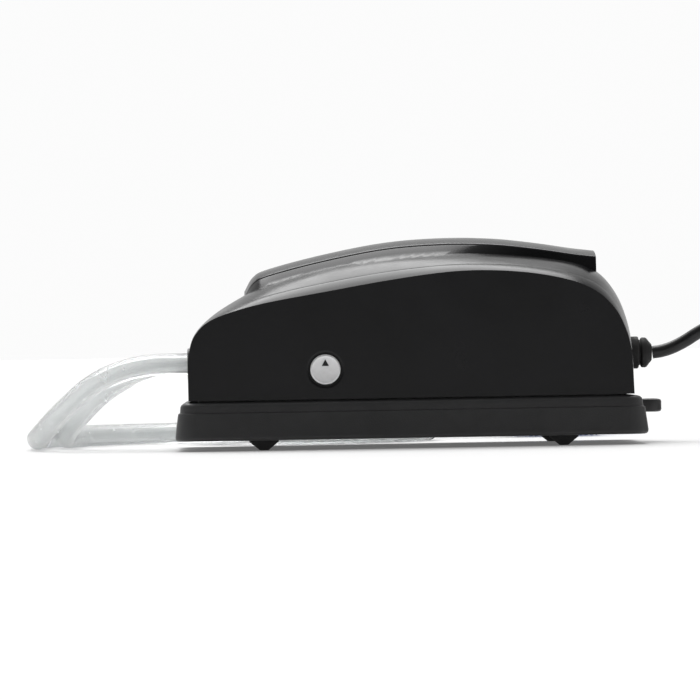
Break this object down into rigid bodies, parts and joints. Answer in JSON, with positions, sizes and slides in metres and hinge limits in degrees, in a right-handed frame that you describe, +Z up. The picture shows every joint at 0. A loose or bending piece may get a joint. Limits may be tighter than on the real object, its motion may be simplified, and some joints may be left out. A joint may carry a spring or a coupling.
{
  "type": "aquarium air pump",
  "caption": "Mains diaphragm air pump for an aquarium: arched black housing, flow knob, rubber feet, air hoses with stones, mains lead and plug.",
  "frame": {"origin": "under the middle of the pump's own box, on the surface its four feet stand on", "axes": "+X towards the mains lead and hanging lug, -X towards the air outlets, -Y towards the flow knob, +Z up"},
  "size_m": [0.2669, 0.1672, 0.0579],
  "materials": {
    "black_gloss_plastic": "polished injection-moulded ABS",
    "black_plastic": "fine satin texture",
    "rubber": "soft matt",
    "silver": "bright satin",
    "steel": "zinc plated",
    "core_steel": "stacked varnished laminations",
    "copper": "enamelled copper winding",
    "magnet": "sintered ferrite",
    "white_plastic": "natural nylon",
    "grey_rubber": "silicone rubber",
    "board_green": "solder-masked board",
    "felt": "needled felt",
    "clear_hose": "clear flexible hose",
    "brass": "turned or stamped brass",
    "brown_wire": "wire insulation",
    "blue_wire": "wire insulation",
    "blue_stone": "coarse bonded grains"
  },
  "bodies": {
    "housing": {"air_hose_1": "clear_hose", "air_hose_2": "clear_hose", "air_hose_coil_1": "clear_hose", "air_hose_coil_2": "clear_hose", "air_hose_end_1": "clear_hose", "air_hose_end_2": "clear_hose", "air_stone_1": "blue_stone", "air_stone_2": "blue_stone", "air_tube_1": "grey_rubber", "air_tube_2": "grey_rubber", "arm_socket_1": "rubber", "arm_socket_2": "rubber", "base_tray": "black_plastic", "blue_wire": "blue_wire", "brown_wire": "brown_wire", "chamber_cover_1": "white_plastic", "chamber_cover_2": "white_plastic", "circuit_board": "board_green", "coil_bobbin": "white_plastic", "coil_winding": "copper", "core_screw_1": "steel", "core_screw_2": "steel", "dial_resistor": "white_plastic", "diaphragm_1": "rubber", "diaphragm_2": "rubber", "filter_cover": "black_plastic", "filter_felt": "felt", "housing_screw_1": "steel", "housing_screw_2": "steel", "housing_screw_3": "steel", "housing_screw_4": "steel", "inlet_flap_1": "grey_rubber", "inlet_flap_2": "grey_rubber", "laminated_core": "core_steel", "mains_lead": "rubber", "mains_lead_coil": "rubber", "mains_lead_end": "rubber", "outlet_flap_1": "grey_rubber", "outlet_flap_2": "grey_rubber", "outlet_nozzle_1": "black_plastic", "outlet_nozzle_2": "black_plastic", "plug_blade_1": "brass", "plug_blade_2": "brass", "plug_body": "rubber", "pump_chamber_1": "white_plastic", "pump_chamber_2": "white_plastic", "rubber_foot_1": "rubber", "rubber_foot_2": "rubber", "rubber_foot_3": "rubber", "rubber_foot_4": "rubber", "strain_relief": "rubber", "upper_shell": "black_gloss_plastic"},
    "flow_knob": {"flow_knob": "silver", "knob_shaft": "brass"},
    "swing_arm_1": {"swing_arm_1": "black_plastic", "arm_magnet_1": "magnet", "diaphragm_stud_1": "steel"},
    "swing_arm_2": {"swing_arm_2": "black_plastic", "arm_magnet_2": "magnet", "diaphragm_stud_2": "steel"}
  },
  "joints": [
    {"name": "flow_knob_turn", "type": "hinge", "parent": "housing", "child": "flow_knob", "pos_m": [-0.0256, -0.0332, 0.0219], "axis": [0, -1, 0], "range_deg": [-135, 135]},
    {"name": "swing_arm_1_swing", "type": "hinge", "parent": "housing", "child": "swing_arm_1", "pos_m": [-0.0484, -0.02055, 0.023], "axis": [0, 0, 1], "range_deg": [-1.2, 1.2], "stiffness_Nm_per_rad": 1},
    {"name": "swing_arm_2_swing", "type": "hinge", "parent": "housing", "child": "swing_arm_2", "pos_m": [-0.0484, 0.02055, 0.023], "axis": [0, 0, 1], "range_deg": [-1.2, 1.2]}
  ],
  "couplings": [
    {"joint": "swing_arm_2_swing", "follows": "swing_arm_1_swing", "ratio": -1}
  ]
}
